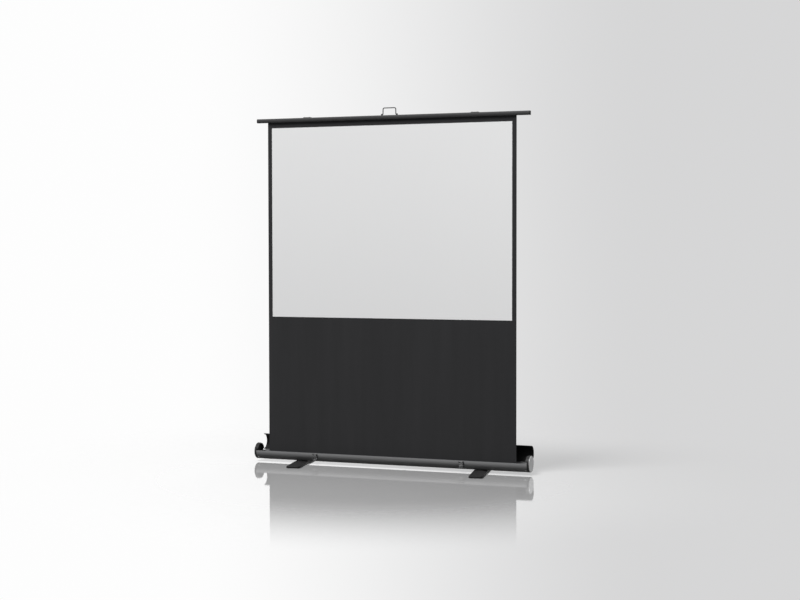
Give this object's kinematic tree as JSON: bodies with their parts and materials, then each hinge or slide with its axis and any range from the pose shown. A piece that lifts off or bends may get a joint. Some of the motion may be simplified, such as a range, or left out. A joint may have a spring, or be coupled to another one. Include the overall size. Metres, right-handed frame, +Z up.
{
  "type": "portable projection screen",
  "caption": "Pull-up projection screen: a cloth rises on a scissor lift from a spring roller in a round lidded case on swivel feet, with a wire bail on its top bar.",
  "frame": {"origin": "on the floor, midway along the case and midway between the feet's ends", "axes": "+Z up, +X to the viewer's right, -Y towards the audience"},
  "size_m": [1.834, 0.5408, 2.236],
  "materials": {
    "case_grey": "satin dark grey anodised",
    "black_anodised": "satin black anodised",
    "black_plastic": "fine-grained black",
    "grey_plate": "satin light grey",
    "foot_black": "black powder coat",
    "rubber": "matt",
    "black_steel": "black paint",
    "latch_metal": "black nickel plated",
    "zinc_steel": "zinc plated",
    "bail_wire": "black nickel plated",
    "roller_metal": "mill finish",
    "nylon": "natural nylon",
    "black_cloth": "matt black",
    "white_cloth": "matt white"
  },
  "bodies": {
    "case": {"case_trough": "case_grey", "left_end_cap": "black_plastic", "right_end_cap": "black_plastic", "end_plates": "grey_plate", "end_cap_screws": "zinc_steel", "foot_bosses": "black_plastic", "foot_bolts": "zinc_steel", "foot_nut_plates": "zinc_steel", "left_roller_bracket": "black_steel", "right_roller_bracket": "black_steel", "case_screws": "zinc_steel", "roller_arbor": "zinc_steel", "roller_spring": "zinc_steel", "base_pivot_bracket": "black_steel", "base_pivot_pin": "zinc_steel", "base_slide_rail": "black_steel", "hinge_case_leaves": "black_steel", "hinge_pins": "zinc_steel", "latch_plates": "black_steel", "latch_pins": "latch_metal", "screen_sheet": "black_cloth", "picture_layer": "white_cloth"},
    "left_foot": {"left_foot": "foot_black", "left_foot_pads": "rubber"},
    "right_foot": {"right_foot": "foot_black", "right_foot_pads": "rubber"},
    "roller": {"roller_tube": "roller_metal", "left_roller_plug": "black_plastic", "right_roller_plug": "black_plastic", "cloth_turns": "black_cloth"},
    "rising_1": {"rising_arm_1": "black_steel", "rising_rivets_1": "zinc_steel"},
    "falling_1": {"falling_arm_1": "black_steel", "falling_rivets_1": "zinc_steel", "base_slide_roller": "nylon"},
    "rising_2": {"rising_arm_2": "black_steel", "rising_rivets_2": "zinc_steel"},
    "falling_2": {"falling_arm_2": "black_steel", "falling_rivets_2": "zinc_steel"},
    "rising_3": {"rising_arm_3": "black_steel", "rising_rivets_3": "zinc_steel", "top_slide_roller": "nylon"},
    "falling_3": {"falling_arm_3": "black_steel"},
    "top_bar": {"top_bar_profile": "black_anodised", "bar_plugs": "black_plastic", "hem_rod": "black_plastic", "left_arm_bracket": "black_steel", "right_stop_plate": "black_steel", "arm_bracket_pin": "zinc_steel", "bar_screws": "zinc_steel", "bail_ears": "black_plastic"},
    "bail": {"pull_bail": "bail_wire"},
    "lid": {"lid_shell": "case_grey", "hinge_lid_leaves": "black_steel", "latch_keepers": "latch_metal"},
    "left_lever": {"left_latch_lever": "latch_metal"},
    "right_lever": {"right_latch_lever": "latch_metal"},
    "left_loop": {"left_latch_loop": "latch_metal"},
    "right_loop": {"right_latch_loop": "latch_metal"}
  },
  "joints": [
    {"name": "scissor_lift", "type": "hinge", "parent": "case", "child": "rising_1", "pos_m": [-0.558, 0.01742, 0.036], "axis": [0, 1, 0], "range_deg": [0, 31.82], "deforming": ["screen_sheet", "picture_layer"]},
    {"name": "crossing_1", "type": "hinge", "parent": "rising_1", "child": "falling_1", "pos_m": [0, 0.01742, 0.39283], "axis": [0, 1, 0], "range_deg": [-63.64, 0]},
    {"name": "left_pivot_1", "type": "hinge", "parent": "falling_1", "child": "rising_2", "pos_m": [-0.558, 0.01742, 0.74967], "axis": [0, 1, 0], "range_deg": [0, 63.64]},
    {"name": "crossing_2", "type": "hinge", "parent": "rising_2", "child": "falling_2", "pos_m": [0, 0.01742, 1.1065], "axis": [0, 1, 0], "range_deg": [-63.64, 0]},
    {"name": "left_pivot_2", "type": "hinge", "parent": "falling_2", "child": "rising_3", "pos_m": [-0.558, 0.01742, 1.46333], "axis": [0, 1, 0], "range_deg": [0, 63.64]},
    {"name": "crossing_3", "type": "hinge", "parent": "rising_3", "child": "falling_3", "pos_m": [0, 0.01742, 1.82017], "axis": [0, 1, 0], "range_deg": [-63.64, 0]},
    {"name": "bar_pivot", "type": "hinge", "parent": "falling_3", "child": "top_bar", "pos_m": [-0.558, 0.01742, 2.177], "axis": [0, 1, 0], "range_deg": [0, 31.82]},
    {"name": "roller_spin", "type": "hinge", "parent": "case", "child": "roller", "pos_m": [0, -0.014, 0.05], "axis": [1, 0, 0], "range_deg": [-5410, 0]},
    {"name": "bail_swing", "type": "hinge", "parent": "top_bar", "child": "bail", "pos_m": [0, 0.0009, 2.1928], "axis": [1, 0, 0], "range_deg": [-88, 88]},
    {"name": "lid_hinge", "type": "hinge", "parent": "case", "child": "lid", "pos_m": [0, 0.0541, 0.06396], "axis": [-1, 0, 0], "range_deg": [-21, 0]},
    {"name": "left_lever_swing", "type": "hinge", "parent": "case", "child": "left_lever", "pos_m": [-0.488, -0.057, 0.0645], "axis": [-1, 0, 0], "range_deg": [0, 100]},
    {"name": "left_loop_swing", "type": "hinge", "parent": "left_lever", "child": "left_loop", "pos_m": [-0.488, -0.05909, 0.05408], "axis": [-1, 0, 0], "range_deg": [0, 95]},
    {"name": "right_lever_swing", "type": "hinge", "parent": "case", "child": "right_lever", "pos_m": [0.488, -0.057, 0.0645], "axis": [-1, 0, 0], "range_deg": [0, 100]},
    {"name": "right_loop_swing", "type": "hinge", "parent": "right_lever", "child": "right_loop", "pos_m": [0.488, -0.05909, 0.05408], "axis": [-1, 0, 0], "range_deg": [0, 95]},
    {"name": "left_foot_swivel", "type": "hinge", "parent": "case", "child": "left_foot", "pos_m": [-0.598, 0, 0.013], "axis": [0, 0, 1], "range_deg": [-26.2, 78.8]},
    {"name": "right_foot_swivel", "type": "hinge", "parent": "case", "child": "right_foot", "pos_m": [0.598, 0, 0.013], "axis": [0, 0, 1], "range_deg": [-101.2, 3.8]}
  ],
  "couplings": [
    {"joint": "crossing_1", "follows": "scissor_lift", "ratio": -2},
    {"joint": "left_pivot_1", "follows": "scissor_lift", "ratio": 2},
    {"joint": "crossing_2", "follows": "scissor_lift", "ratio": -2},
    {"joint": "left_pivot_2", "follows": "scissor_lift", "ratio": 2},
    {"joint": "crossing_3", "follows": "scissor_lift", "ratio": -2},
    {"joint": "bar_pivot", "follows": "scissor_lift", "ratio": 1},
    {"joint": "roller_spin", "follows": "scissor_lift", "ratio": -169.99}
  ]
}
